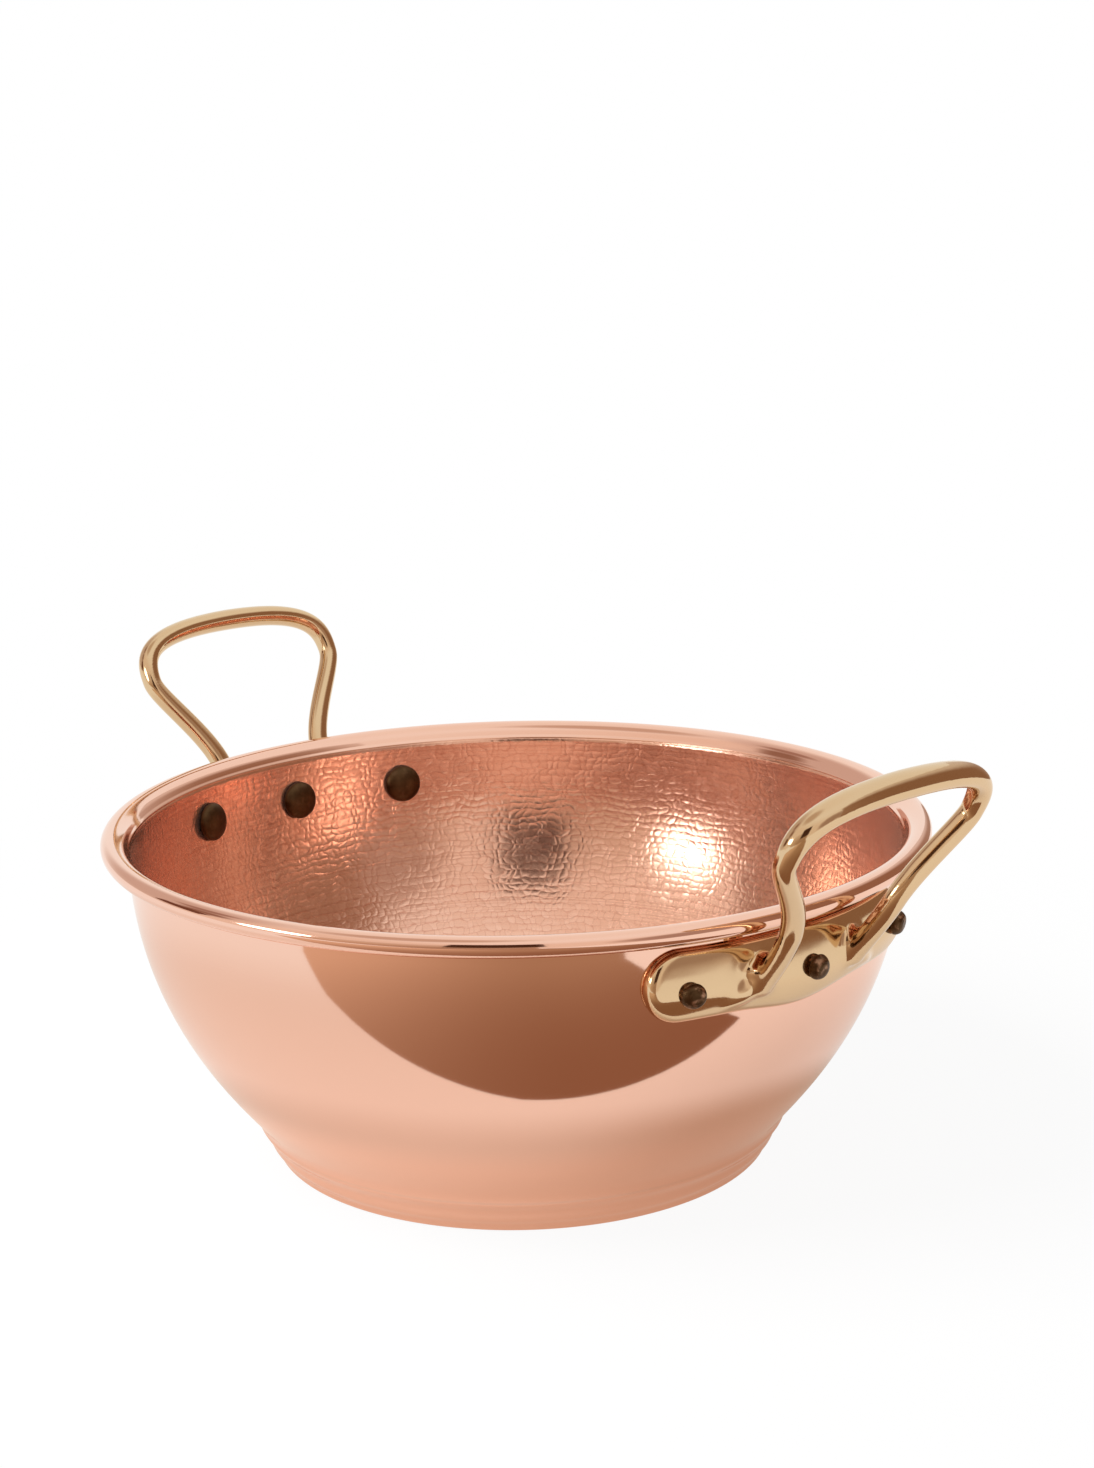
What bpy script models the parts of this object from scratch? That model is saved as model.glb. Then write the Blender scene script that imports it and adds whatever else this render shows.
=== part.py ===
# A copper sugar pan: a bowl of spun copper sheet with a rim rolled round a wire, and two cast
# bronze loop handles, each held by three copper rivets. Units are metres and +Z is up. The origin
# is the middle of the base, and the handles stand along X.
import math

import bmesh
import bpy
from mathutils import Matrix, Vector

for old in list(bpy.data.objects):
    bpy.data.objects.remove(old, do_unlink=True)

# Fits between pieces
gap = 0.0003  # clearance between neighbouring pieces

# The bowl
rim_radius = 0.150  # to the outside of the rolled bead
rim_height = 0.123  # from the table to the top of the bead
sheet = 0.0012  # thickness of the copper
bead_radius = 0.0035  # outside of the roll
neck_inset = 0.0095  # from the rim's outside in to the wall, where it starts to flare
neck_depth = 0.0105  # from the top of the bead down to the start of the flare
flare_bend = 0.0040  # radius of the bend between wall and flare
foot_radius = 0.0915  # of the foot's side where it would meet the table
foot_angle = math.radians(32.2)  # lean of the foot's side from vertical
foot_corner = 0.0050  # rounding between the base and the foot's side
crease_height = 0.0210  # where the foot meets the belly
belly_lean = math.radians(36.0)  # lean of the belly from vertical just above the crease
belly_low_pull = 0.0130  # how far the belly keeps that lean
belly_high_pull = 0.0520  # how far the belly comes straight down from the neck
bowl_steps = 72  # facets round the bowl

# The handles
plate_length = 0.1220  # along the wall
plate_height = 0.0258
plate_thickness = 0.0056  # at the middle line
plate_slope = math.radians(15.0)  # lean of the plate's face towards its thin top edge
plate_thick_end = 0.28  # where the slope stops below the middle, as a share of the height
plate_edge = 0.0022  # rounding of the plate's outer edge
plate_drop = 0.0228  # from the top of the bead down to the plate's middle line
plate_belly = 0.0026  # how far the plate bulges down under the middle rivet
plate_belly_width = 0.0300
near_stand = 0.0189  # from the neck's outside to the loop, level with the bead's centre
far_stand = 0.0145
near_loop_height = 0.0536  # above the bead's centre; all heights of a loop run along its plane
far_loop_height = 0.0575
loop_lean = math.radians(27.4)  # lean of the loop's plane from upright
loop_root = 0.0125  # half the distance between the arms' ends in the plate
loop_root_depth = 0.0300  # below the bead's centre
loop_hip = 0.0246  # half the distance between the arms, level with the bead
loop_shoulder = 0.0438  # half the loop's greatest width
loop_shoulder_drop = 0.0205  # from the crown down to the loop's widest place
root_radius = 0.0046  # half the bar's width in the loop's plane, at four places
arm_radius = 0.0038
shoulder_radius = 0.0034
grip_radius = 0.0044
arm_depth = 0.72  # the bar's depth across that plane, as a share of its width
grip_depth = 1.34  # the same at the crown, where the hand holds it

# The rivets
rivet_inset = 0.0130  # from the plate's end to the outer rivets, along the wall
rivet_drop = 0.0220  # from the top of the bead down to the rivets' holes
shank_radius = 0.0030
head_radius = 0.0074  # the domed head inside the bowl
head_height = 0.0042
head_brim = 0.0008  # thickness of the dome's edge
cone_radius = 0.0044  # the peened end outside the handle
cone_height = 0.0036
cone_tip_radius = 0.0022
rivet_steps = 12

# Sizes that follow from those above
bead_centre = Vector((rim_radius - bead_radius, rim_height - bead_radius))
roll_radius = bead_radius - sheet  # the inside of the roll
wire_radius = roll_radius - gap
neck_radius = rim_radius - neck_inset
neck_height = rim_height - neck_depth
crease_radius = foot_radius + crease_height * math.tan(foot_angle)
plate_middle = rim_height - plate_drop
rivet_height = rim_height - rivet_drop
rivet_spacing = plate_length / 2 - rivet_inset

parts = bpy.data.collections.new("copper_sugar_pan")
bpy.context.scene.collection.children.link(parts)
cutters = bpy.data.collections.new("cutters")
bpy.context.scene.collection.children.link(cutters)
pan = bpy.data.objects.new("copper_sugar_pan", None)
parts.objects.link(pan)


def make_material(name, colour, metallic, roughness):
    """A plain material with the piece's colour."""
    material = bpy.data.materials.new(name)
    material.use_nodes = True
    shader = material.node_tree.nodes["Principled BSDF"]
    shader.inputs["Base Color"].default_value = (*colour, 1.0)
    shader.inputs["Metallic"].default_value = metallic
    shader.inputs["Roughness"].default_value = roughness
    return material


def add_part(name, mesh, material):
    """Put a mesh into the pan as one of its pieces."""
    part = bpy.data.objects.new(name, mesh)
    part.data.materials.append(material)
    part.parent = pan
    parts.objects.link(part)
    return part


def add_cutter(name, mesh):
    """Keep a mesh as a shape that only cuts others."""
    cutter = bpy.data.objects.new(name, mesh)
    cutter.hide_render = True
    cutter.display_type = "WIRE"
    cutters.objects.link(cutter)
    return cutter


def profile_mesh(name, points):
    """An open line of points (radius, height) in the XZ plane, ready to be turned."""
    mesh = bpy.data.meshes.new(name)
    edges = [(i, i + 1) for i in range(len(points) - 1)]
    mesh.from_pydata([(x, 0.0, z) for x, z in points], edges, [])
    return mesh


def turn(target, steps):
    """Turn a profile round the Z axis of its object."""
    screw = target.modifiers.new("turned", "SCREW")
    screw.axis = "Z"
    screw.steps = steps
    screw.render_steps = steps
    screw.use_merge_vertices = True
    screw.merge_threshold = 0.00001
    screw.use_smooth_shade = True


def evaluated_mesh(source):
    """The mesh that an object's curve or modifiers give, as a mesh of its own."""
    graph = bpy.context.evaluated_depsgraph_get()
    mesh = bpy.data.meshes.new_from_object(source.evaluated_get(graph))
    shape = bmesh.new()
    shape.from_mesh(mesh)
    bmesh.ops.remove_doubles(shape, verts=shape.verts, dist=0.00001)
    bmesh.ops.recalc_face_normals(shape, faces=shape.faces)
    shape.to_mesh(mesh)
    shape.free()
    return mesh


def cut(target, cutter, operation="DIFFERENCE"):
    """Cut one object by another, or join the other to it."""
    boolean = target.modifiers.new(cutter.name, "BOOLEAN")
    boolean.operation = operation
    boolean.solver = "EXACT"
    boolean.object = cutter


def arc(centre, radius, start, end, count):
    """Points on an arc, with both ends. Angles run from +X towards +Z."""
    points = []
    for i in range(count + 1):
        angle = start + (end - start) * i / count
        points.append((centre[0] + radius * math.cos(angle), centre[1] + radius * math.sin(angle)))
    return points


def bezier(start, start_pull, end_pull, end, count):
    """Points on a cubic curve, with both ends."""
    points = []
    for i in range(count + 1):
        t = i / count
        weights = ((1 - t) ** 3, 3 * t * (1 - t) ** 2, 3 * t * t * (1 - t), t ** 3)
        corners = (start, start_pull, end_pull, end)
        points.append(tuple(sum(w * c[k] for w, c in zip(weights, corners)) for k in (0, 1)))
    return points


# The outside of the sheet, from the middle of the base up the foot and the belly to the neck
base_turn = math.pi / 2 - foot_angle
base_flat = foot_radius - foot_corner * math.tan(base_turn / 2)
corner = arc((base_flat, foot_corner), foot_corner, -math.pi / 2, -foot_angle, 3)
crease = (crease_radius, crease_height)
crease_pull = (
    crease_radius + belly_low_pull * math.sin(belly_lean),
    crease_height + belly_low_pull * math.cos(belly_lean),
)
neck = (neck_radius, neck_height)
neck_pull = (neck_radius, neck_height - belly_high_pull)
belly = bezier(crease, crease_pull, neck_pull, neck, 9)
wall = [(0.0, 0.0)] + corner + belly

# The flare runs from the neck's bend straight on to the inside of the roll, touching both
bend_centre = Vector((neck_radius + flare_bend, neck_height))
to_bead = bead_centre - bend_centre
flare_lean = math.atan2(to_bead.x, to_bead.y) + math.asin((flare_bend - roll_radius) / to_bead.length)
bend = arc(bend_centre, flare_bend, math.pi, math.pi - flare_lean, 2)[1:]

# The roll goes round the wire and stops a gap short of the flare, so it stays open below
roll_stop = math.acos((roll_radius - gap) / bead_radius)
roll_start = math.pi - flare_lean
roll = arc(bead_centre, roll_radius, roll_start, roll_start + roll_stop - 2 * math.pi, 12)
sheet_line = wall + bend + roll


def wall_radius(height):
    """The outside radius of the wall at a height above the table, below the flare."""
    for low, high in zip(belly[:-1], belly[1:]):
        if height <= high[1]:
            break
    return low[0] + (high[0] - low[0]) * (height - low[1]) / (high[1] - low[1])


def wall_lean(height):
    """How far the wall's outside faces down at a height, as an angle."""
    step = 0.002
    return math.atan2(wall_radius(height + step) - wall_radius(height - step), 2 * step)


copper = make_material("polished_copper", (0.80, 0.45, 0.32), 1.0, 0.12)
bronze = make_material("polished_bronze", (0.66, 0.50, 0.30), 1.0, 0.15)
dark_copper = make_material("dark_copper", (0.13, 0.07, 0.05), 1.0, 0.45)
steel = make_material("steel_wire", (0.55, 0.55, 0.56), 1.0, 0.35)

# The bowl is the sheet's outside line, turned and thickened inwards
bowl = add_part("bowl", profile_mesh("bowl", sheet_line[::-1]), copper)
turn(bowl, bowl_steps)
thicken = bowl.modifiers.new("sheet", "SOLIDIFY")
thicken.thickness = sheet
thicken.offset = -1.0
thicken.use_even_offset = True

# The wire is a closed ring in the middle of the roll
bpy.ops.mesh.primitive_torus_add(
    major_radius=bead_centre.x,
    minor_radius=wire_radius,
    major_segments=bowl_steps,
    minor_segments=8,
    location=(0.0, 0.0, bead_centre.y),
)
rim_wire = bpy.context.object
rim_wire.name = "rim_wire"
rim_wire.data.materials.append(steel)
rim_wire.data.shade_smooth()
for collection in list(rim_wire.users_collection):
    collection.objects.unlink(rim_wire)
parts.objects.link(rim_wire)
rim_wire.parent = pan

# The handles bed against this shape, which is the wall with the clearance round it
clearance_line = [(x, z) for x, z in wall + bend + roll[:1]]
clearance_top = (0.0, clearance_line[-1][1])
wall_room = add_cutter(
    "wall_room", profile_mesh("wall_room", [clearance_top] + clearance_line[::-1])
)
turn(wall_room, bowl_steps)
swell = wall_room.modifiers.new("clearance", "DISPLACE")
swell.strength = gap
swell.mid_level = 0.0


def plate_outline():
    """The plate's outline, flattened: straight above, round ends and a low middle."""
    half = plate_length / 2
    end = plate_height / 2
    points = arc((half - end, 0.0), end, -math.pi / 2, math.pi / 2, 8)
    points += [(y * (half - end) / 4, end) for y in range(3, -4, -1)]
    points += arc((end - half, 0.0), end, math.pi / 2, math.pi * 1.5, 8)
    for i in range(-3, 4):
        y = i * (half - end) / 4
        fall = max(0.0, math.cos(math.pi * min(1.0, abs(y) / plate_belly_width) / 2))
        points.append((y, -end - plate_belly * fall ** 2))
    return points


def flat_plate():
    """The plate before it is bent: its back at X = 0, its length along Y and its height along Z."""
    outline = bpy.data.curves.new("plate", "CURVE")
    outline.dimensions = "2D"
    outline.fill_mode = "BOTH"
    back = 0.0060  # spare metal behind, cut away where the plate beds against the wall
    outline.extrude = (plate_thickness + back) / 2 - plate_edge
    outline.bevel_depth = plate_edge
    outline.bevel_resolution = 1
    outline.offset = -plate_edge
    spline = outline.splines.new("POLY")
    points = plate_outline()
    spline.points.add(len(points) - 1)
    for point, (y, z) in zip(spline.points, points):
        point.co = (y, z, 0.0, 1.0)
    spline.use_cyclic_u = True
    blank = bpy.data.objects.new("plate", outline)
    cutters.objects.link(blank)
    mesh = evaluated_mesh(blank)
    bpy.data.objects.remove(blank)
    # Stand it up: the curve's X becomes the pan's Y, its Y becomes Z and its thickness X
    upright = Matrix(((0, 0, 1, 0), (1, 0, 0, 0), (0, 1, 0, 0), (0, 0, 0, 1)))
    mesh.transform(Matrix.Translation(((plate_thickness - back) / 2, 0, 0)) @ upright)
    return mesh


def bend_to_wall(mesh):
    """Thin the flat plate towards its top edge and bend it round the wall.

    Both need cuts first, along the lines where the plate bends.
    """
    shape = bmesh.new()
    shape.from_mesh(mesh)
    facet = 2 * math.pi / bowl_steps
    cuts = []
    for i in range(-5, 6):
        cuts.append(((0.0, i * facet * wall_radius(plate_middle), 0.0), (0.0, 1.0, 0.0)))
    for share in (-plate_thick_end, 0.0, plate_thick_end):
        cuts.append(((0.0, 0.0, share * plate_height), (0.0, 0.0, 1.0)))
    for point, normal in cuts:
        everything = shape.verts[:] + shape.edges[:] + shape.faces[:]
        bmesh.ops.bisect_plane(shape, geom=everything, plane_co=point, plane_no=normal)
    for vertex in shape.verts:
        height = plate_middle + vertex.co.z
        angle = vertex.co.y / wall_radius(plate_middle)
        fall = max(vertex.co.z, -plate_thick_end * plate_height) * math.tan(plate_slope)
        front = vertex.co.x * (1 - fall / plate_thickness) if vertex.co.x > 0 else vertex.co.x
        radius = wall_radius(height) + gap + front
        vertex.co = (radius * math.cos(angle), radius * math.sin(angle), height)
    shape.to_mesh(mesh)
    shape.free()
    return mesh


def loop_mesh(reach, height):
    """The handle's bar, swept along a line in the loop's leaning plane."""
    bar = bpy.data.curves.new("loop", "CURVE")
    bar.dimensions = "3D"
    bar.bevel_depth = 1.0
    bar.bevel_resolution = 2
    bar.resolution_u = 6
    bar.use_fill_caps = True
    spline = bar.splines.new("BEZIER")
    # Half of the line from root to crown: place, pull along the line before and after, radius
    shoulder_height = height - loop_shoulder_drop
    half = (
        ((loop_root, -loop_root_depth), (-0.001, -0.007), (0.001, 0.007), root_radius),
        ((loop_hip, 0.0), (-0.0035, -0.014), (0.0035, 0.014), arm_radius),
        ((loop_shoulder, shoulder_height), (0.0, -0.0063), (0.0, 0.0089), shoulder_radius),
        ((0.0, height), (loop_shoulder, 0.0), (-loop_shoulder, 0.0), grip_radius),
    )
    stations = list(half)
    for place, before, after, radius in half[-2::-1]:
        mirrored = [(-y, z) for y, z in (place, after, before)]
        stations.append((*mirrored, radius))
    spline.bezier_points.add(len(stations) - 1)
    for point, (place, before, after, radius) in zip(spline.bezier_points, stations):
        point.handle_left_type = "FREE"
        point.handle_right_type = "FREE"
        point.co = (0.0, *place)
        point.handle_left = (0.0, place[0] + before[0], place[1] + before[1])
        point.handle_right = (0.0, place[0] + after[0], place[1] + after[1])
        point.radius = radius
    sweep = bpy.data.objects.new("loop", bar)
    cutters.objects.link(sweep)
    mesh = evaluated_mesh(sweep)
    bpy.data.objects.remove(sweep)
    # The bar is deeper than wide where the hand holds it, and shallower in the arms
    for vertex in mesh.vertices:
        share = min(1.0, max(0.0, vertex.co.z / height))
        vertex.co.x *= arm_depth + (grip_depth - arm_depth) * share
    place = Matrix.Translation((reach, 0.0, bead_centre.y))
    mesh.transform(place @ Matrix.Rotation(loop_lean, 4, "Y"))
    return mesh


# Each rivet passes square through the wall
rivet_lean = wall_lean(rivet_height)
rivet_seat = wall_radius(rivet_height)


def rivet_place(number, side):
    """Where a rivet's axis crosses the wall's outside, with its Z axis pointing out of the wall."""
    angle = number * rivet_spacing / rivet_seat + side
    turned = Matrix.Rotation(angle, 4, "Z")
    moved = Matrix.Translation((rivet_seat, 0.0, rivet_height))
    tipped = Matrix.Rotation(math.pi / 2 + rivet_lean, 4, "Y")
    return turned @ moved @ tipped


def drill(name, radius, start, end, place):
    """A cylinder on a rivet's axis, between two distances outside the wall."""
    bpy.ops.mesh.primitive_cylinder_add(vertices=rivet_steps, radius=radius, depth=end - start)
    blank = bpy.context.object
    cutter = add_cutter(name, blank.data)
    bpy.data.objects.remove(blank)
    cutter.matrix_world = place @ Matrix.Translation((0.0, 0.0, (start + end) / 2))
    return cutter


def rivet_profile():
    """The rivet's side from the peened tip outside down to the top of the dome inside."""
    outside = gap + plate_thickness + gap
    curve_of_wall = head_radius ** 2 / (2 * rivet_seat)
    inside = -sheet - curve_of_wall - gap
    points = [
        (0.0, outside + cone_height),
        (cone_tip_radius, outside + cone_height),
        (cone_radius, outside + cone_height * 0.35),
        (cone_radius, outside),
        (shank_radius, outside),
        (shank_radius, inside),
        (head_radius, inside),
        (head_radius, inside - head_brim),
    ]
    dome = head_height - head_brim
    for i in range(1, 4):
        angle = i * math.pi / 6
        points.append((head_radius * math.cos(angle), inside - head_brim - dome * math.sin(angle)))
    points.append((0.0, inside - head_height))
    return points


# The loops were bent and finished by hand, so they differ a little
handles = {
    "right": (0.0, neck_radius + near_stand, near_loop_height),
    "left": (math.pi, neck_radius + far_stand, far_loop_height),
}
for name, (side, reach, height) in handles.items():
    handle = add_part("handle_" + name, bend_to_wall(flat_plate()), bronze)
    handle.rotation_euler.z = side
    bar = add_cutter("loop_" + name, loop_mesh(reach, height))
    bar.rotation_euler.z = side
    cut(handle, bar, "UNION")
    cut(handle, wall_room)

    for number in (-1, 0, 1):
        label = f"{name}_{number + 2}"
        place = rivet_place(number, side)

        rivet = add_part("rivet_" + label, profile_mesh("rivet_" + label, rivet_profile()), dark_copper)
        rivet.matrix_world = place
        turn(rivet, rivet_steps)

        # A hole for the shank, and a flat seat for the peened end, sunk into the sloping face
        deep = 2.5 * plate_thickness
        hole = drill("hole_" + label, shank_radius + gap, -deep, deep, place)
        seat = drill("seat_" + label, cone_radius + gap, gap + plate_thickness, deep, place)
        cut(bowl, hole)
        cut(handle, hole)
        cut(handle, seat)
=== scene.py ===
import math

import bmesh
import bpy
import numpy as np
from mathutils import Matrix, Vector


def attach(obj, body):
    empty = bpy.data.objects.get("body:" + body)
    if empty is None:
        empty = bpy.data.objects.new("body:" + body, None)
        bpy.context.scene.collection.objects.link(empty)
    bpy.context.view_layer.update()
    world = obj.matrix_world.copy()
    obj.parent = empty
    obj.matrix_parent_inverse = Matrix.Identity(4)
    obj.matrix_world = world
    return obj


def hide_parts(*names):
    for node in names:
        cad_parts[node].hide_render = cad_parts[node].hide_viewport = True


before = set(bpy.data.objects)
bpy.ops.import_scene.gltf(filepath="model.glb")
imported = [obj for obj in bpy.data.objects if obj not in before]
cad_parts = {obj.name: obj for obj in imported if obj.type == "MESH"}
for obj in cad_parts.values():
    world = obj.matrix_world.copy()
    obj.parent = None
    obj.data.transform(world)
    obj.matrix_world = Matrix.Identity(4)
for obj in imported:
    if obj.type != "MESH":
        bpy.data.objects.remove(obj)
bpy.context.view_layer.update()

# The bowl: one sheet of copper, spun over a former into a shallow conical foot and a deep round
# belly, planished inside with a small hammer and polished outside. Its edge flares out and is
# rolled round a wire, and the roll stays open a hair below.
sheet = 0.0012
rim_radius = 0.150
rim_height = 0.123
bead_radius = 0.0035
lip_radius = 0.0060
neck_radius = 0.1405
neck_height = 0.1155
ridge_height = 0.1175
flare_bend = 0.0020
foot_radius = 0.0919
foot_corner = 0.0012
foot_bulge = (0.0949, 0.0066)
foot_crest = (0.0984, 0.0126)
belly_foot = (0.09975, 0.0160)
belly_lean = math.radians(30.8)
belly_low_pull = 0.0085
belly_high_pull = 0.0590
foot_pull = 0.0025
wall_gap = 0.0003
lip_polish = 0.0025
smooth_below = math.radians(40)
bowl_steps = 360


def arc(centre, radius, start, end, count):
    """Places on an arc, with both ends, as (radius from the axis, height)."""
    turns = np.linspace(start, end, count + 1)
    return [(centre[0] + radius * math.cos(a), centre[1] + radius * math.sin(a)) for a in turns]


def sweep(start, start_pull, end_pull, end, count):
    """Places on a cubic curve, with both ends."""
    t = np.linspace(0, 1, count + 1)[:, None]
    a, b, c, d = (np.array(p) for p in (start, start_pull, end_pull, end))
    return (a * (1 - t) ** 3 + 3 * b * t * (1 - t) ** 2 + 3 * c * t * t * (1 - t) + d * t ** 3).tolist()


def deselect():
    """Leave edit mode with nothing selected."""
    if bpy.context.object and bpy.context.object.mode == "EDIT":
        bpy.ops.object.mode_set(mode="OBJECT")
    bpy.ops.object.select_all(action="DESELECT")


def start_line(places):
    """Draw a line in the XZ plane from one vertex, by extruding it from place to place."""
    deselect()
    bpy.ops.mesh.primitive_plane_add(size=0.001, location=(places[0][0], 0, places[0][1]))
    bpy.ops.object.transform_apply(location=True)
    bpy.ops.object.mode_set(mode="EDIT")
    bpy.ops.mesh.merge(type="CENTER")
    for (r0, z0), (r1, z1) in zip(places, places[1:]):
        bpy.ops.mesh.extrude_region_move(TRANSFORM_OT_translate={"value": (r1 - r0, 0, z1 - z0)})


def turn_line(steps):
    """Turn the line once round the Z axis and close the seam."""
    bpy.ops.mesh.select_all(action="SELECT")
    bpy.ops.mesh.spin(steps=steps, angle=2 * math.pi, center=(0, 0, 0), axis=(0, 0, 1))
    bpy.ops.mesh.select_all(action="SELECT")
    bpy.ops.mesh.remove_doubles(threshold=0.000002)
    bpy.ops.mesh.normals_make_consistent(inside=False)
    bpy.ops.object.mode_set(mode="OBJECT")


def apply_modifier(kind, **settings):
    """Add a modifier to the active piece and apply it."""
    bpy.ops.object.modifier_add(type=kind)
    modifier = bpy.context.object.modifiers[-1]
    for name, value in settings.items():
        setattr(modifier, name, value)
    bpy.ops.object.modifier_apply(modifier=modifier.name)


def places_of(mesh):
    """All the vertices of a mesh as an array."""
    places = np.empty(len(mesh.vertices) * 3, np.float32)
    mesh.vertices.foreach_get("co", places)
    return places.reshape(-1, 3).astype(float)


def move_to(mesh, places):
    """Put the vertices of a mesh at new places."""
    mesh.vertices.foreach_set("co", places.astype(np.float32).ravel())
    mesh.update()


def paint(mesh, name, values):
    """Keep one number for each vertex, for a material to read."""
    layer = mesh.attributes.new(name, "FLOAT", "POINT")
    layer.data.foreach_set("value", values.astype(np.float32))


base_flat = foot_radius - foot_corner
base_line = [(base_flat * i / 8, 0.0) for i in range(8)]
corner_line = arc((base_flat, foot_corner), foot_corner, -math.pi / 2, 0, 5)
foot_low = sweep(
    corner_line[-1],
    (foot_radius + 0.0002, 0.0035),
    (foot_bulge[0], foot_bulge[1] - foot_pull),
    foot_bulge,
    8,
)
foot_high = sweep(
    foot_bulge,
    (foot_bulge[0], foot_bulge[1] + foot_pull),
    (foot_crest[0] + 0.0001, foot_crest[1] - 0.0014),
    foot_crest,
    12,
)
crest_line = sweep(
    foot_crest,
    (foot_crest[0] - 0.0001, foot_crest[1] + 0.0010),
    (belly_foot[0] - 0.0006, belly_foot[1] - 0.0010),
    belly_foot,
    8,
)
foot_line = foot_low[1:] + foot_high[1:] + crest_line[1:-1]
belly_start = (
    belly_foot[0] + belly_low_pull * math.sin(belly_lean),
    belly_foot[1] + belly_low_pull * math.cos(belly_lean),
)
belly_line = sweep(
    belly_foot,
    belly_start,
    (neck_radius, neck_height - belly_high_pull),
    (neck_radius, neck_height),
    46,
)
bead_centre = Vector((rim_radius - bead_radius, rim_height - bead_radius))
roll_radius = bead_radius - sheet
lip_centre = Vector((bead_centre.x, rim_height - lip_radius))
bend_centre = Vector((neck_radius + flare_bend, neck_height))
to_lip = lip_centre - bend_centre
flare_lean = math.atan2(to_lip.x, to_lip.y) + math.asin((flare_bend - lip_radius + sheet) / to_lip.length)
bend_line = arc(bend_centre, flare_bend, math.pi, math.pi - flare_lean, 5)[1:]
lip_line = arc(lip_centre, lip_radius - sheet, math.pi - flare_lean, math.pi / 2, 12)
roll_line = lip_line + arc(bead_centre, roll_radius, math.pi / 2, -math.pi * 1.02, 24)[1:]
wall_line = corner_line + foot_line + belly_line + bend_line
wall_r, wall_z = np.array(wall_line + roll_line[:1]).T
wall_s = base_flat + np.concatenate([[0], np.cumsum(np.hypot(np.diff(wall_r), np.diff(wall_z)))])

start_line(base_line + wall_line + roll_line)
turn_line(bowl_steps)
bowl = bpy.context.object
bowl.name = "copper_bowl"
bpy.ops.object.mode_set(mode="EDIT")
bpy.ops.mesh.select_all(action="SELECT")
if min(bowl.data.polygons, key=lambda face: face.center.length).normal.z > 0:
    bpy.ops.mesh.flip_normals()
bpy.ops.object.mode_set(mode="OBJECT")
apply_modifier("SOLIDIFY", thickness=sheet, offset=-1.0, use_even_offset=True)
bpy.ops.object.shade_smooth_by_angle(angle=smooth_below)

# Where a point lies along the sheet from the middle of the base, whether it is inside below the
# lip, and how much of the hammer it took
here = places_of(bowl.data)
r, z = np.hypot(here[:, 0], here[:, 1]), here[:, 2]
within = (np.interp(z, wall_z, wall_r) - r > sheet / 2) & (z > sheet / 2) & (z < rim_height - lip_polish)
paint(bowl.data, "along", np.where((r < base_flat) & (z < 0.004), r, np.interp(z, wall_z, wall_s)))
paint(bowl.data, "inside", within.astype(float))
paint(bowl.data, "hammered", within * np.clip((ridge_height - 0.0004 - z) / 0.0012, 0, 1))


class Value:
    """A shader value that takes part in Python sums."""

    def __init__(self, socket):
        self.socket = socket

    def math(self, operation, *others, first=None):
        items = (self, *others) if first is None else (first, self)
        return add_node(self.socket.id_data, "Math", {"operation": operation}, dict(enumerate(items)))

    def __add__(self, other):
        return self.math("ADD", other)

    __radd__ = __add__

    def __sub__(self, other):
        return self.math("SUBTRACT", other)

    def __rsub__(self, other):
        return self.math("SUBTRACT", first=other)

    def __mul__(self, other):
        return self.math("MULTIPLY", other)

    __rmul__ = __mul__

    def __truediv__(self, other):
        return self.math("DIVIDE", other)

    def __rtruediv__(self, other):
        return self.math("DIVIDE", first=other)

    def rise(self, start, end):
        """From 0 at the start to 1 at the end, level beyond both."""
        settings = {"interpolation_type": "SMOOTHSTEP"}
        return add_node(self.socket.id_data, "MapRange", settings, {0: self, 1: start, 2: end})


def plug(place, item):
    """Link a value to a socket, or set the socket to a number or colour."""
    if isinstance(item, Value):
        place.id_data.links.new(item.socket, place)
    elif isinstance(item, (tuple, list)) and place.type == "RGBA":
        place.default_value = (*item, 1.0)
    else:
        place.default_value = item


def add_node(tree, kind, settings, inputs, output=0):
    """Add a node of a type, set it up, and give back one of its outputs."""
    node = tree.nodes.new("ShaderNode" + kind)
    for name, setting in settings.items():
        setattr(node, name, setting)
    for name, item in inputs.items():
        plug(node.inputs[name], item)
    return Value(node.outputs[output])


class Finish:
    """A material that is being put together."""

    def __init__(self, name, **fixed):
        self.material = bpy.data.materials.new(name)
        self.material.use_nodes = True
        self.tree = self.material.node_tree
        self.shader = self.tree.nodes["Principled BSDF"]
        for socket, item in fixed.items():
            plug(self.shader.inputs[socket.replace("_", " ")], item)

    def node(self, kind, settings=None, inputs=None, output=0):
        """Add a node of a type to this finish."""
        return add_node(self.tree, kind, settings or {}, inputs or {}, output)

    def place(self):
        """The point's own place in the pan, in metres."""
        return self.node("TexCoord", output=3)

    def number(self, name):
        """A number painted on the mesh."""
        return self.node("Attribute", {"attribute_name": name}, output=2)

    def noise(self, scale, detail=2.0, rough=0.5, stretch=(1, 1, 1), at=None):
        """Soft noise of a scale per metre, from 0 to 1."""
        where = self.node("Mapping", {}, {"Vector": at or self.place(), "Scale": stretch})
        inputs = {"Vector": where, "Scale": scale, "Detail": detail, "Roughness": rough}
        return self.node("TexNoise", {}, inputs)

    def mix(self, share, first, second):
        """Go from one colour to another."""
        return self.node("Mix", {"data_type": "RGBA"}, {0: share, 6: first, 7: second}, output=2)

    def relief(self, height):
        """Raise the surface by a height in millimetres."""
        return self.node("Bump", {}, {"Height": height, "Distance": 0.001, "Strength": 1.0})

    def feed(self, **sockets):
        """Link values to the shader's sockets."""
        for socket, item in sockets.items():
            plug(self.shader.inputs[socket.replace("_", " ")], item)


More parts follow.
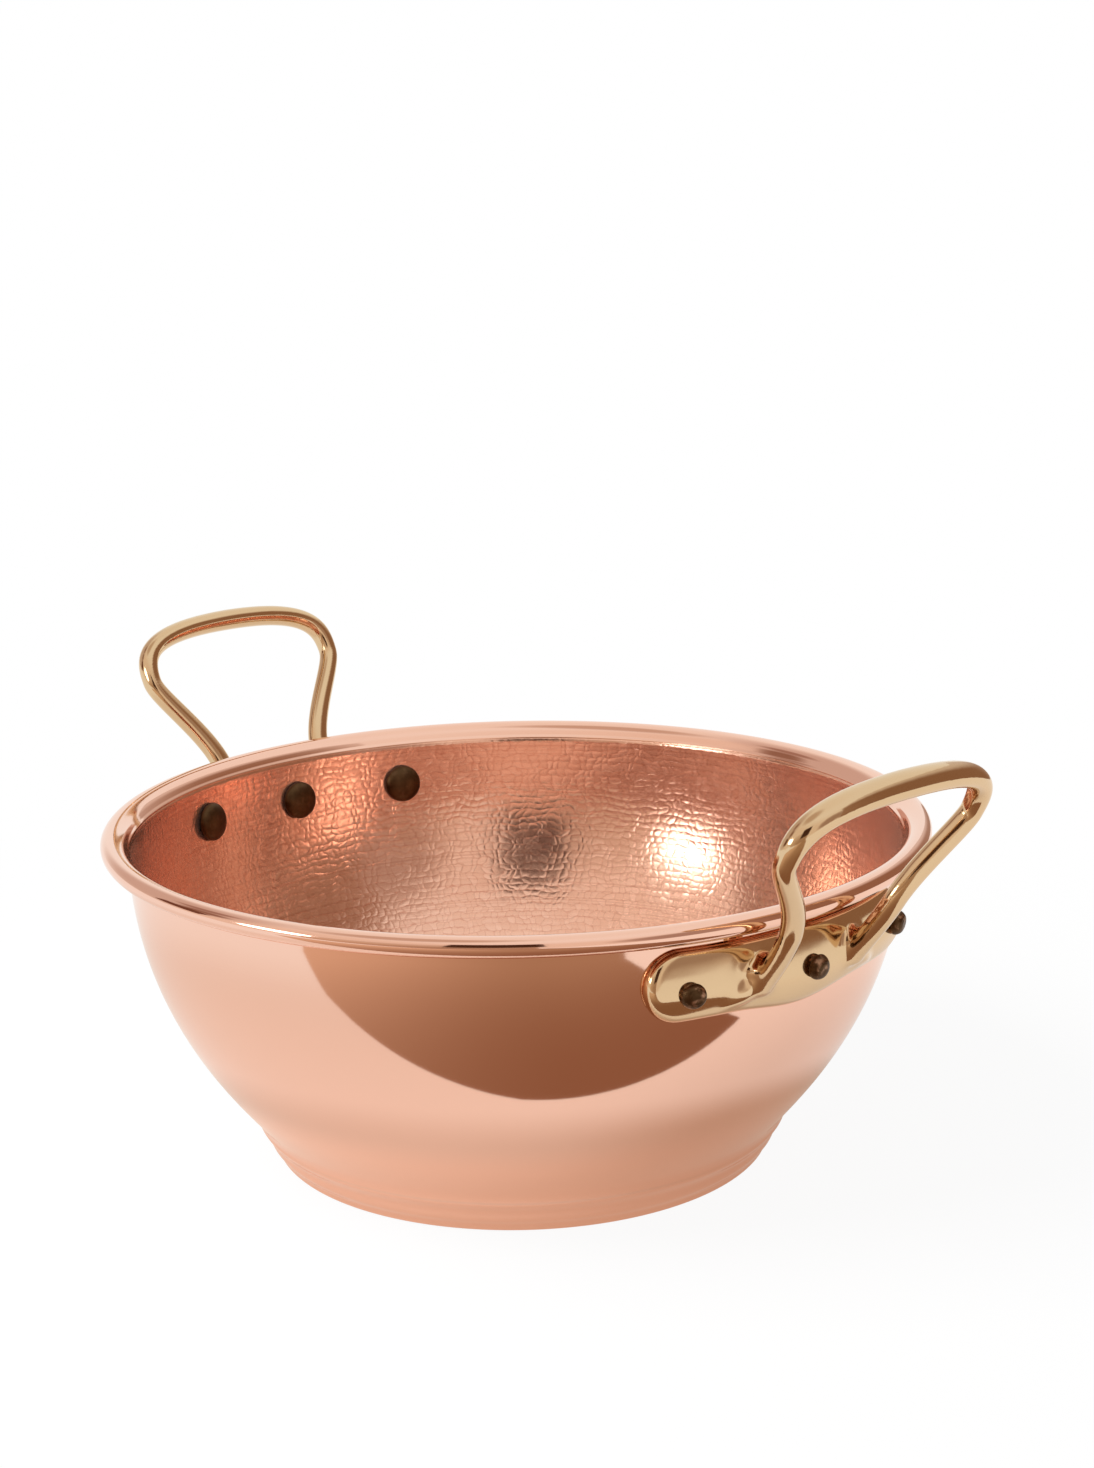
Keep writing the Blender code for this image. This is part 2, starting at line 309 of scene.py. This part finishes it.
# Copper as it comes from the hammer and the mop: rows of small round blows inside, each row set
# off from the next by chance, fine turned lines below the rim, a ridge where the planishing stops
# under the polished lip, and a mirror polish outside
copper = Finish("planished_copper")
point = copper.place()
x, y, z = (copper.node("SeparateXYZ", {}, {0: point}, output) for output in (0, 1, 2))
along = copper.number("along")
inside = copper.number("inside") * z.rise(ridge_height + 0.0001, ridge_height - 0.0003)
ridge_back = z.rise(ridge_height + 0.0012, ridge_height)
ridge_front = z.rise(ridge_height - 0.0005, ridge_height)
ridge = copper.number("inside") * ridge_back * ridge_front
hammered = copper.number("hammered")

# The rows follow the sheet out from the middle, and each has more blows than the one before, up
# to the most that the hammer leaves room for
blow = 0.0031
row_step = blow * 0.92
more_blows = 5.8
most_blows = 250.0
row_wander = 2.0
round_wander = 2.6
wander = copper.noise(110, 2.0) - 0.5
elsewhere = copper.node("VectorMath", {"operation": "ADD"}, {0: point, 1: (0.7, 0.3, 0.1)})
drift = copper.noise(150, 1.0, at=elsewhere) - 0.5
row_place = along / row_step + wander * row_wander
row = row_place.math("FLOOR")
row_side = row_place - row - 0.5
row_chance = copper.node("TexWhiteNoise", {"noise_dimensions": "1D"}, {"W": row}, 0)
blows_round = ((row + 0.5) * more_blows).math("FLOOR").math("MINIMUM", most_blows)
turn = y.math("ARCTAN2", x) / (2 * math.pi) + 0.5
round_place = (turn + row_chance) * blows_round + drift * round_wander
cell = round_place.math("FLOOR")
round_side = round_place - cell - 0.5
number_of_blow = copper.node("CombineXYZ", {}, {0: cell.math("FLOORED_MODULO", blows_round), 1: row})
chances = copper.node("TexWhiteNoise", {"noise_dimensions": "2D"}, {"Vector": number_of_blow}, 1)
depth_chance, tilt_chance, lean_chance = (
    copper.node("SeparateXYZ", {}, {0: chances}, output) for output in (0, 1, 2)
)
hollow = (1 - row_side * row_side * 3.6) * (1 - round_side * round_side * 3.6)
blows = hollow * (0.6 + depth_chance * 0.8)
blows = blows + row_side * (tilt_chance - 0.5) * 1.3 + round_side * (lean_chance - 0.5) * 1.5

# Heights in millimetres, and painted shade: the seams between the blows and the turned lines are painted
# darker
turned = copper.noise(1.0, 3.0, 0.6, at=copper.node("CombineXYZ", {}, {0: along * 900}))
grain = copper.noise(900, 2.0)
inner_height = -0.046 * blows * hammered
inner_height = inner_height + turned * 0.015 * inside * (1.2 - hammered * 0.6) + ridge * 0.12
# Painted shade: darker colour along the seams between the blows and in the turned lines, taking the inner
# copper towards dark red
painted_seam_shade = hollow.rise(0.42, 0.0) * (0.35 + tilt_chance * 0.65) * hammered
painted_line_shade = turned.rise(0.52, 0.34) * inside
swell = copper.noise(26, 1.5, stretch=(1, 1, 1.3))
ripple = copper.noise(85, 1.0)
mop_lines = copper.noise(1.0, 2.0, 0.6, at=copper.node("CombineXYZ", {}, {0: z * 700}))
small_ripple = copper.noise(210, 1.0)
outer_height = swell * 0.05 + ripple * 0.006 + small_ripple * 0.0025 + mop_lines * 0.0010
outer_height = (1 - inside) * outer_height
outer_copper = copper.mix(copper.noise(14, 2.0), (0.915, 0.585, 0.460), (0.940, 0.615, 0.490))
shade = copper.noise(22, 3.0) * 0.4 + depth_chance * 0.6
inner_copper = copper.mix(shade, (0.850, 0.512, 0.382), (0.948, 0.612, 0.478))
inner_copper = copper.mix(painted_seam_shade * 0.62 + painted_line_shade * 0.45, inner_copper, (0.68, 0.33, 0.23))
copper.feed(
    Base_Color=copper.mix(inside, outer_copper, inner_copper),
    Metallic=1 - hammered * 0.08,
    Roughness=0.05 + grain * 0.03 + inside * (0.065 + copper.noise(60, 3.0) * 0.05 + lean_chance * 0.05),
    Normal=copper.relief(inner_height + outer_height),
)
bowl.data.materials.append(copper.material)
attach(bowl, "root")
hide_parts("bowl")

# The wire in the rim: drawn steel, bent to a ring before the copper is rolled over it. Only a
# hair of it shows, in the slot under the roll.
drawn_steel = Finish("drawn_steel", Metallic=1.0)
wire_lines = drawn_steel.noise(400, 2.0, stretch=(1, 1, 6))
drawn_steel.feed(
    Base_Color=drawn_steel.mix(wire_lines, (0.42, 0.41, 0.40), (0.58, 0.57, 0.56)),
    Roughness=0.28 + wire_lines * 0.15,
    Normal=drawn_steel.relief(wire_lines * 0.01),
)
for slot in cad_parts["rim_wire"].material_slots:
    slot.material = drawn_steel.material

# The two handles: cast in bronze, each a finger loop whose arms run down into a plate bent to the
# wall. The plate is thick along its lower third and thin along its top edge. The casting is
# filed, rounded over everywhere and polished.
plate_length = 0.1205
plate_height = 0.0250
plate_thickness = 0.0056
plate_slope = math.radians(14.0)
plate_round = 0.0034
plate_middle = 0.1002
plate_belly = 0.0028
plate_belly_width = 0.0300
plate_edge = 0.0008
loop_lean = math.radians(27.4)
arm_depth = 0.88
grip_depth = 1.26
fillet = 0.0024
roots_top = 0.1165
roots_width = 0.046


def wall_at(height):
    """Outside radius of the bowl's wall."""
    return np.interp(height, wall_z, wall_r)


def bend_round(places):
    """Bend flat work round the wall: X is depth from the wall, Y runs along it, Z is height."""
    angle = places[:, 1] / wall_at(plate_middle)
    radius = wall_at(plate_middle + places[:, 2]) + wall_gap + places[:, 0]
    return np.column_stack([radius * np.cos(angle), radius * np.sin(angle), plate_middle + places[:, 2]])


def bend_plate():
    """The plate, modelled flat from a disc pulled long, then thinned to its edges and bent."""
    end = plate_height / 2
    straight = plate_length / 2 - end
    deselect()
    bpy.ops.mesh.primitive_circle_add(
        vertices=64, radius=end, fill_type="NGON", rotation=(math.pi / 2, 0, math.pi / 2)
    )
    bpy.ops.object.transform_apply(rotation=True)
    plate = bpy.context.object
    bpy.ops.object.mode_set(mode="EDIT")
    for side in (-1, 1):
        bpy.ops.mesh.select_all(action="DESELECT")
        work = bmesh.from_edit_mesh(plate.data)
        for vertex in work.verts:
            vertex.select = vertex.co.y * side > 0.00001
        bmesh.update_edit_mesh(plate.data)
        bpy.ops.transform.translate(value=(0, side * straight, 0))
    bpy.ops.mesh.select_all(action="SELECT")
    bpy.ops.mesh.extrude_region_move(TRANSFORM_OT_translate={"value": (plate_thickness, 0, 0)})
    bpy.ops.mesh.select_all(action="SELECT")
    bpy.ops.mesh.normals_make_consistent(inside=False)
    bpy.ops.object.mode_set(mode="OBJECT")
    apply_modifier("REMESH", mode="VOXEL", voxel_size=0.0006)
    depth, y, z = places_of(plate.data).T
    edge = end - np.hypot(np.maximum(np.abs(y) - straight, 0), z)
    edge = 1 - np.clip(edge / plate_round, 0, 1)
    swell = 1 - np.clip((-z - 0.06 * plate_height) / (0.44 * plate_height), 0, 1) ** 2 * 0.42
    front = (plate_thickness - np.maximum(z, -0.1 * plate_height) * math.tan(plate_slope)) * swell
    front = plate_edge + (front - plate_edge) * np.sqrt(1 - edge * edge)
    belly = np.cos(np.pi / 2 * np.clip(np.abs(y) / plate_belly_width, 0, 1)) ** 2
    z = z - plate_belly * np.clip(-z / end, 0, 1) * belly
    move_to(plate.data, bend_round(np.column_stack([depth / plate_thickness * front, y, z])))
    return plate


def draw_bar(stations):
    """A round bar along a curve of (place, pull before, pull after, radius), as a mesh."""
    deselect()
    bpy.ops.curve.primitive_bezier_curve_add()
    bar = bpy.context.object
    curve = bar.data
    curve.dimensions = "3D"
    curve.bevel_depth = 1.0
    curve.bevel_resolution = 7
    curve.resolution_u = 24
    curve.use_fill_caps = True
    spline = curve.splines[0]
    spline.bezier_points.add(len(stations) - 2)
    for knot, (place, before, after, radius) in zip(spline.bezier_points, stations):
        knot.handle_left_type = knot.handle_right_type = "FREE"
        knot.co = place
        knot.handle_left = Vector(place) + Vector(before)
        knot.handle_right = Vector(place) + Vector(after)
        knot.radius = radius
    bpy.ops.object.convert(target="MESH")
    return bar


def cast_handle(name, side, stand, height):
    """One casting: plate, loop and the swept roots of its arms, joined and rounded over."""
    plate = bend_plate()

    # Half of the loop's line from root to crown, standing in the YZ plane, and then its other half
    half = [
        ((-0.0045, 0.0216, -0.0280), (-0.001, 0, -0.007), (0.001, 0, 0.007), 0.0044),
        ((0, 0.0246, 0.0), (0, -0.0022, -0.010), (0, 0.0035, 0.014), 0.0042),
        ((0, 0.0438, height - 0.0205), (0, 0, -0.0063), (0, 0, 0.0089), 0.0036),
        ((0, 0, height), (0, 0.0438, 0), (0, -0.0438, 0), 0.0042),
    ]
    other = [
        (*[(x, -y, z) for x, y, z in (place, after, before)], radius)
        for place, before, after, radius in half[-2::-1]
    ]
    loop = draw_bar(half + other)
    places = places_of(loop.data)
    share = np.clip(places[:, 2] / height, 0, 1)
    places[:, 0] *= arm_depth + (grip_depth - arm_depth) * share
    move_to(loop.data, places)
    stood = Matrix.Translation((neck_radius + stand, 0, bead_centre.y))
    loop.data.transform(stood @ Matrix.Rotation(loop_lean, 4, "Y"))

    # Each arm turns outwards at its foot and runs out along the plate's thick lower part
    roots = []
    for way in (-1, 1):
        flat = np.array([(0.0062, 0.0224, 0.0150), (0.0040, 0.0250, 0.0225), (0.0022, 0.0440, 0.0275)])
        flat[:, 1] *= way
        flat[:, 2] = bead_centre.y - flat[:, 2] - plate_middle
        high, knee, out = (Vector(place) for place in bend_round(flat))
        roots.append(draw_bar([
            (high, (0, 0, 0.004), (0, way * -0.0004, -0.004), 0.0036),
            (knee, (0, way * -0.0040, 0.0034), (0, way * 0.0050, -0.0030), 0.0040),
            (out, (0, way * -0.007, 0.0005), (0, way * 0.002, 0), 0.0022),
        ]))

    deselect()
    for part in (plate, loop, *roots):
        part.select_set(True)
    bpy.context.view_layer.objects.active = plate
    bpy.ops.object.join()
    handle = bpy.context.object
    handle.name = name
    apply_modifier("REMESH", mode="VOXEL", voxel_size=0.0005)

    # Swelling the casting and shrinking it again fills its inner corners
    apply_modifier("DISPLACE", strength=fillet, mid_level=0.0)
    apply_modifier("REMESH", mode="VOXEL", voxel_size=0.0005)
    apply_modifier("SMOOTH", factor=0.5, iterations=4)
    apply_modifier("DISPLACE", strength=-fillet, mid_level=0.0)
    apply_modifier("REMESH", mode="VOXEL", voxel_size=0.00048)

    # The file goes over everything, and longest over the roots
    places = places_of(handle.data)
    roots_group = handle.vertex_groups.new(name="roots")
    near = np.flatnonzero((places[:, 2] < roots_top) & (np.abs(places[:, 1]) < roots_width))
    strength = np.clip((roots_width - np.abs(places[near, 1])) / 0.012, 0, 1)
    strength = strength * np.clip((roots_top - places[near, 2]) / 0.006, 0, 1)
    for level in range(1, 11):
        chosen = near[np.ceil(strength * 10) == level]
        roots_group.add(chosen.tolist(), level / 10, "REPLACE")
    apply_modifier("SMOOTH", factor=0.5, iterations=40, vertex_group="roots")
    apply_modifier("SMOOTH", factor=0.5, iterations=10)

    # Bed the plate's back against the wall again
    places = places_of(handle.data)
    radius = np.hypot(places[:, 0], places[:, 1])
    least = wall_at(np.minimum(places[:, 2], neck_height)) + wall_gap
    low = (places[:, 2] < neck_height + 0.002) & (radius < least)
    places[low, :2] *= (least[low] / radius[low])[:, None]
    if side:
        places[:, :2] *= -1
    move_to(handle.data, places)
    handle.vertex_groups.clear()
    bpy.ops.object.shade_smooth()
    return handle


bronze = Finish("polished_bronze", Metallic=1.0)
cast_swell = bronze.noise(70, 1.5)
haze = bronze.noise(35, 3.0)
scratches = bronze.noise(700, 3.0, 0.6, stretch=(1, 0.15, 1))
bronze.feed(
    Base_Color=bronze.mix(haze, (0.70, 0.51, 0.305), (0.77, 0.57, 0.355)),
    Roughness=0.06 + haze * 0.05 + scratches * 0.03,
    Normal=bronze.relief(cast_swell * 0.03 + scratches * 0.0008),
)
for name, side, stand, height in (("right", 0, 0.0189, 0.0536), ("left", 1, 0.0145, 0.0575)):
    handle = cast_handle("bronze_handle_" + name, side, stand, height)
    handle.data.materials.clear()
    handle.data.materials.append(bronze.material)
    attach(handle, "root")
    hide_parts("handle_" + name)

# The rivets: copper, three to a handle, driven from inside. Each has a domed head in the bowl
# and an end outside that was hammered over the plate to a blunt cone. They are left dark.
rivet_height = 0.1010
rivet_spacing = 0.0480
shank_radius = 0.0030
head_radius = 0.00755
head_height = 0.0042
cone_radius = 0.0044
cone_height = 0.0036
cone_tilt = 0.08
cone_shift = 0.0003
head_edge = 0.0008
head_turn = math.pi / 18
rivet_seat = float(wall_at(rivet_height))
rivet_lean = math.atan2(float(wall_at(rivet_height + 0.002) - wall_at(rivet_height - 0.002)), 0.004)


def pick(thing, test):
    """Select the faces whose middle passes a test, and nothing else."""
    bpy.ops.mesh.select_all(action="DESELECT")
    work = bmesh.from_edit_mesh(thing.data)
    for face in work.faces:
        face.select_set(bool(test(face.calc_center_median(), face.normal)))
    bmesh.update_edit_mesh(thing.data)


def draw_out(distance, scale):
    """Extrude the picked face along Z and change its width."""
    bpy.ops.mesh.extrude_region_move(TRANSFORM_OT_translate={"value": (0, 0, distance)})
    bpy.ops.transform.resize(value=(scale, scale, 1))


outside = wall_gap + plate_thickness + wall_gap
inside_face = -(sheet + head_radius ** 2 / (2 * rivet_seat) + wall_gap)


def drive_rivet(name, place, seed):
    """A rivet on the Z axis, drawn out of a plain pin at both ends and then set in its place."""
    deselect()
    bpy.ops.mesh.primitive_cylinder_add(
        vertices=32,
        radius=shank_radius,
        depth=outside - inside_face,
        location=(0, 0, (outside + inside_face) / 2),
    )
    bpy.ops.object.transform_apply(location=True)
    rivet = bpy.context.object
    rivet.name = name
    bpy.ops.object.mode_set(mode="EDIT")
    pick(rivet, lambda middle, normal: normal.z > 0.9)
    draw_out(0, cone_radius / shank_radius)
    for rise, width in ((0.30, 0.99), (0.30, 0.90), (0.22, 0.83), (0.10, 0.86)):
        draw_out(cone_height * rise, width)
    bpy.ops.mesh.inset(thickness=0.0004)
    draw_out(cone_height * 0.08, 0.9)
    for share in (0.55, 0.4):
        bpy.ops.mesh.inset(thickness=cone_radius * 0.55 * share)
    bpy.ops.mesh.poke()
    pick(rivet, lambda middle, normal: normal.z < -0.9 and middle.z < 0)
    draw_out(0, head_radius / shank_radius)
    draw_out(-head_edge, 1.0)
    before = 1.0
    for step in range(1, 9):
        lean = step * head_turn
        after = math.cos(lean)
        rise = math.sin(lean) - math.sin(lean - head_turn)
        draw_out(-(head_height - head_edge) * rise, after / before)
        before = after
    bpy.ops.mesh.extrude_region_move(TRANSFORM_OT_translate={"value": (0, 0, 0)})
    bpy.ops.mesh.merge(type="CENTER")
    bpy.ops.object.mode_set(mode="OBJECT")
    apply_modifier("SUBSURF", levels=1, render_levels=1)
    places = places_of(rivet.data)
    chance = np.random.default_rng(seed)
    tilt = chance.uniform(-cone_tilt, cone_tilt, 2)
    tip = np.clip((places[:, 2] - outside) / cone_height, 0, 1)
    places[:, 2] += tip * (places[:, 0] * tilt[0] + places[:, 1] * tilt[1])
    places[:, 0] += tip * chance.uniform(-cone_shift, cone_shift)
    places[:, 1] += tip * chance.uniform(-cone_shift, cone_shift)
    move_to(rivet.data, places)

    # The finish tells the driven end from the head
    paint(rivet.data, "driven", places[:, 2] > 0)
    rivet.data.transform(place)
    bpy.ops.object.shade_smooth_by_angle(angle=math.radians(50))
    return rivet


# Nearly black on the heads, and rubbed back to copper in places on the driven ends
dark_copper = Finish("darkened_copper", Metallic=1.0)
driven = dark_copper.number("driven")
tarnish = dark_copper.noise(260, 4.0, 0.6)
knocks = dark_copper.noise(520, 2.0)
rubbed = dark_copper.noise(380, 3.0).rise(0.50, 0.72) * (driven * 0.85 + 0.08)
dark_copper.feed(
    Base_Color=dark_copper.mix(
        rubbed,
        dark_copper.mix(tarnish, (0.032, 0.018, 0.008), (0.145, 0.080, 0.038)),
        (0.42, 0.24, 0.15),
    ),
    Roughness=0.30 + tarnish * 0.18,
    Normal=dark_copper.relief(knocks * (driven * 0.08 + 0.015) + tarnish * 0.015),
)

# How far each rivet was driven off its mark, along the wall and up
off_mark = {
    "right": ((0.0021, -0.0017), (0.0021, -0.0017), (0.0019, 0.0003)),
    "left": ((-0.0020, 0.0), (-0.0016, 0.0), (0.0, 0.0018)),
}
for name, side in (("right", 0.0), ("left", math.pi)):
    for number, (over, up) in enumerate(off_mark[name], 1):
        angle = ((number - 2) * rivet_spacing + over) / rivet_seat + side
        place = (
            Matrix.Rotation(angle, 4, "Z")
            @ Matrix.Translation((rivet_seat, 0, rivet_height + up))
            @ Matrix.Rotation(math.pi / 2 + rivet_lean, 4, "Y")
        )
        rivet = drive_rivet(f"copper_rivet_{name}_{number}", place, number + 10 * (side > 0))
        rivet.data.materials.append(dark_copper.material)
        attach(rivet, "root")
        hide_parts(f"rivet_{name}_{number}")

# The camera: a long lens about 0.9 m from the pan, looking down at it by about 15 degrees, round
# towards the right-hand handle.
view_turn = 0.8626
lens_distance = 0.90658
lens_rise = 0.2681
lens_length = 60.83
camera_yaw, camera_pitch, camera_roll = 0.0133, 0.2333, -0.0174
eye = Vector((0, -lens_distance * math.cos(lens_rise), lens_distance * math.sin(lens_rise)))
level = math.cos(camera_pitch)
ahead = Vector((math.sin(camera_yaw) * level, math.cos(camera_yaw) * level, -math.sin(camera_pitch)))
aside = Vector((math.cos(camera_yaw), -math.sin(camera_yaw), 0))
upward = aside.cross(ahead)
right_hand = math.cos(camera_roll) * aside + math.sin(camera_roll) * upward
overhead = -math.sin(camera_roll) * aside + math.cos(camera_roll) * upward
pose = Matrix((right_hand, overhead, -ahead)).transposed().to_4x4()
pose.translation = eye
stand_up = Matrix.Rotation(view_turn, 4, "Z") @ pose
stand_up.translation.z += bead_centre.y
deselect()
bpy.ops.object.camera_add()
camera = bpy.context.object
camera.matrix_world = stand_up
camera.data.sensor_fit = "AUTO"
camera.data.sensor_width = 36.0
camera.data.lens = lens_length
camera.data.clip_start = 0.01
camera.data.clip_end = 50.0
bpy.context.scene.camera = camera

# The studio: a white floor and a white surround. A dark cloth lies in front of the pan, out of
# the picture, for the polished metal to mirror, and a soft lamp stands to its left.
bpy.context.scene.view_settings.view_transform = "Standard"


def toward(azimuth, elevation, distance=1.0):
    """A way from the pan, azimuth 0 being the camera's side and positive to its right."""
    a, e = math.radians(azimuth), math.radians(elevation)
    return Vector((math.sin(a) * math.cos(e), -math.cos(a) * math.cos(e), math.sin(e))) * distance


def stage_card(name, corners):
    """A flat card that is there only for the polished metal to mirror. Gives back its finish."""
    deselect()
    bpy.ops.mesh.primitive_circle_add(vertices=len(corners), fill_type="NGON")
    card = bpy.context.object
    card.name = name
    move_to(card.data, np.array(corners))
    card.data.transform(Matrix.Rotation(view_turn, 4, "Z"))
    finish = Finish(name, Base_Color=(0, 0, 0), Roughness=1.0, Specular_IOR_Level=0.0)
    finish.feed(Emission_Strength=1.0)
    card.data.materials.append(finish.material)
    card.visible_camera = card.visible_diffuse = card.visible_shadow = card.visible_transmission = False
    return finish


def stage_place(finish):
    """How far a point of the stage is to the right of the pan, behind it and above the floor."""
    turned_back = finish.node("Mapping", {}, {"Vector": finish.place(), "Rotation": (0, 0, -view_turn)})
    return [finish.node("SeparateXYZ", {}, {0: turned_back}, output) for output in (0, 1, 2)]


deselect()
bpy.ops.mesh.primitive_circle_add(vertices=64, radius=9.0, fill_type="NGON", location=(0, 0, -0.00005))
floor = bpy.context.object
floor.name = "floor"
bpy.ops.object.transform_apply(location=True)
white = Finish("white_floor", Base_Color=(0.90, 0.90, 0.90), Roughness=0.9)
by_camera, by_mirror, through_glass = (white.node("LightPath", output=output) for output in (0, 3, 4))
right, behind, above = stage_place(white)
away = white.node("VectorMath", {"operation": "LENGTH"}, {0: white.place()}, output=1)

# What the metal mirrors of the floor: brown close to the foot, where a painted glow of the pan's own colour
# lies at the foot and a painted shadow just outside it, both darker to the right, then paler further out,
# and white beyond
near_painted_light_and_shade = white.mix(right.rise(-0.12, 0.22), (0.84, 0.73, 0.65), (0.97, 0.89, 0.83))
# Painted shadow just outside the foot, and below it painted copper light right at the foot
painted_shadow_by_foot = white.mix(right.rise(0.0, 0.10), (0.66, 0.52, 0.415), (0.62, 0.45, 0.335))
near_painted_light_and_shade = white.mix(away.rise(0.120, 0.150), painted_shadow_by_foot, near_painted_light_and_shade)
painted_copper_light_at_foot = white.mix(right.rise(0.0, 0.10), (0.80, 0.585, 0.45), (0.66, 0.47, 0.355))
near_painted_light_and_shade = white.mix(away.rise(0.104, 0.122), painted_copper_light_at_foot, near_painted_light_and_shade)
far_glow = white.mix(right.rise(-0.35, 0.30), (0.98, 0.97, 0.95), (0.99, 0.94, 0.89))
mirrored = white.mix(away.rise(0.17, 0.42), near_painted_light_and_shade, far_glow)
glow = white.node("Emission", {}, {"Color": white.mix(by_camera, mirrored, (1, 1, 1)), "Strength": 1.0})

# The rest of the floor's look is its own lit white, which keeps the pan's shadow
seen_share = by_camera * (0.93 + away.rise(0.18, 0.5) * 0.07)
mirrored_share = by_mirror * (0.70 + away.rise(0.14, 0.3) * 0.3)
share = seen_share.math("MAXIMUM", mirrored_share).math("MAXIMUM", through_glass)
both = white.node("MixShader", {}, {0: share, 1: Value(white.shader.outputs[0]), 2: glow})
plug(white.tree.nodes["Material Output"].inputs["Surface"], both)
floor.data.materials.append(white.material)

# A brown cloth, from just in front of the pan back under the camera
cloth = stage_card("brown_cloth", [
    (-0.62, -1.6, 0.001),
    (0.20, -1.6, 0.001),
    (0.180, -0.60, 0.001),
    (0.168, -0.138, 0.001),
    (0.0, -0.156, 0.001),
    (-0.20, -0.203, 0.001),
    (-0.50, -0.31, 0.001),
    (-0.62, -0.46, 0.001),
])
right, behind, above = stage_place(cloth)
back_lit = cloth.mix((behind * -1).rise(0.15, 0.45), (0.28, 0.14, 0.08), (0.43, 0.27, 0.17))
cloth.feed(Emission_Color=cloth.mix(right.rise(0.04, -0.36), back_lit, (0.74, 0.52, 0.37)))

# The room in front, behind the camera, brown below and lighter to the left and up
front = stage_card("front_of_room", [
    (-2.4, -1.6, 0),
    (0.13, -1.6, 0),
    (0.13, -1.6, 1.1),
    (-2.4, -1.6, 1.1),
])
right, behind, above = stage_place(front)
lower = front.mix(right.rise(-0.3, -1.9), (0.43, 0.28, 0.19), (0.64, 0.45, 0.32))
front.feed(Emission_Color=front.mix(above.rise(0.25, 0.95), lower, (0.69, 0.55, 0.44)))

# The dark side of the room, to the right and behind
side_place = toward(117, 0, 1.15)
side_way = Vector((-side_place.y, side_place.x, 0)).normalized()
side_outline = ((-2.0, 0), (0.97, 0), (0.97, 0.66), (0.46, 0.85), (-0.16, 1.19), (-0.85, 1.63), (-2.0, 2.1))
side_room = stage_card("side_of_room", [
    side_place + side_way * along_card + Vector((0, 0, height)) for along_card, height in side_outline
])
right, behind, above = stage_place(side_room)
across = right * side_way.x + behind * side_way.y
shade = side_room.mix(across.rise(0.0, 0.79), (0.30, 0.165, 0.10), (0.42, 0.28, 0.21))
shade = side_room.mix(across.rise(-0.85, -1.8), shade, (0.36, 0.21, 0.14))
top_share = (above + across * 0.55).rise(0.60, 1.04)
side_room.feed(Emission_Color=side_room.mix(top_share, shade, (0.72, 0.62, 0.55)))

# The dark camera itself, a soft lamp window to its left, and a dark screen beside the window
pan_middle = Vector((0, 0, 0.08))


def around_pan(distance, *ways):
    """Corners of a card that faces the pan, from their azimuths and elevations."""
    return [toward(azimuth, elevation, distance) + pan_middle for azimuth, elevation in ways]


dark_camera = stage_card("dark_camera", around_pan(0.95, (-18, 13), (6, 13), (6, 37), (-18, 37)))
dark_camera.feed(Emission_Color=(0.07, 0.03, 0.015))
window = stage_card("lamp_window", around_pan(
    1.2, (-72, 11.5), (-56, 11), (-52, 15), (-53, 20), (-59, 23), (-70, 23), (-74, 20), (-74.5, 15)
))
window.feed(Emission_Color=(1.0, 0.99, 0.97), Emission_Strength=5.5)
dark_screen = stage_card("dark_screen", around_pan(
    1.3, (-105, 7), (-87, 8), (-85, 19), (-95, 23), (-104, 19)
))
dark_screen.feed(Emission_Color=(0.17, 0.07, 0.04))

deselect()
bpy.ops.object.light_add(type="AREA")
lamp = bpy.context.object
lamp.name = "soft_lamp"
lamp.data.shape = "SQUARE"
lamp.data.size = 1.3
lamp.data.energy = 56
lamp.visible_glossy = False
lamp.location = Matrix.Rotation(view_turn, 4, "Z") @ toward(-72, 48, 2.2)
lamp.rotation_euler = (-lamp.location).to_track_quat("-Z", "Y").to_euler()


# The rest of the room is plain, white behind and above the pan and darker in a few soft patches.
# The eye sees it white all over, and what it sheds on matt things is held down.
class Room(Finish):
    """The world's nodes, put together like a material's."""

    def __init__(self, name):
        self.world = bpy.data.worlds.new(name)
        self.world.use_nodes = True
        self.tree = self.world.node_tree
        self.shader = self.tree.nodes["Background"]

    def patch(self, walls, azimuth, elevation, wide, soft, colour):
        """A round patch of another colour on the walls, its size and soft edge in degrees."""
        way = tuple(Matrix.Rotation(view_turn, 4, "Z") @ toward(azimuth, elevation))
        looking = self.node("TexCoord", output=0)
        facing = self.node("VectorMath", {"operation": "DOT_PRODUCT"}, {0: looking, 1: way}, output=1)
        edge = [math.cos(math.radians(size)) for size in (wide + soft, max(wide - soft, 0))]
        return self.mix(facing.rise(*edge), walls, colour)


room = Room("studio")
bpy.context.scene.world = room.world
walls = (0.86, 0.73, 0.63)
for patch in (
    (180, 18, 44, 24, (0.97, 0.97, 0.94)),
    (110, 78, 46, 18, (0.95, 0.92, 0.88)),
    (-140, 80, 24, 12, (0.93, 0.88, 0.82)),
    (-70, 72, 15, 8, (0.62, 0.48, 0.39)),
    (-122, 27, 27, 12, (0.64, 0.52, 0.46)),
    (-98, 27, 7, 4, (0.30, 0.17, 0.12)),
    (-112, 39, 7, 4, (0.37, 0.23, 0.18)),
    (45, 16, 17, 7, (0.43, 0.30, 0.24)),
):
    walls = room.patch(walls, *patch)
room.feed(Color=room.mix(room.node("LightPath", output=3), (1, 1, 1), walls))
room.feed(Strength=1 - room.node("LightPath", output=2) * 0.62)
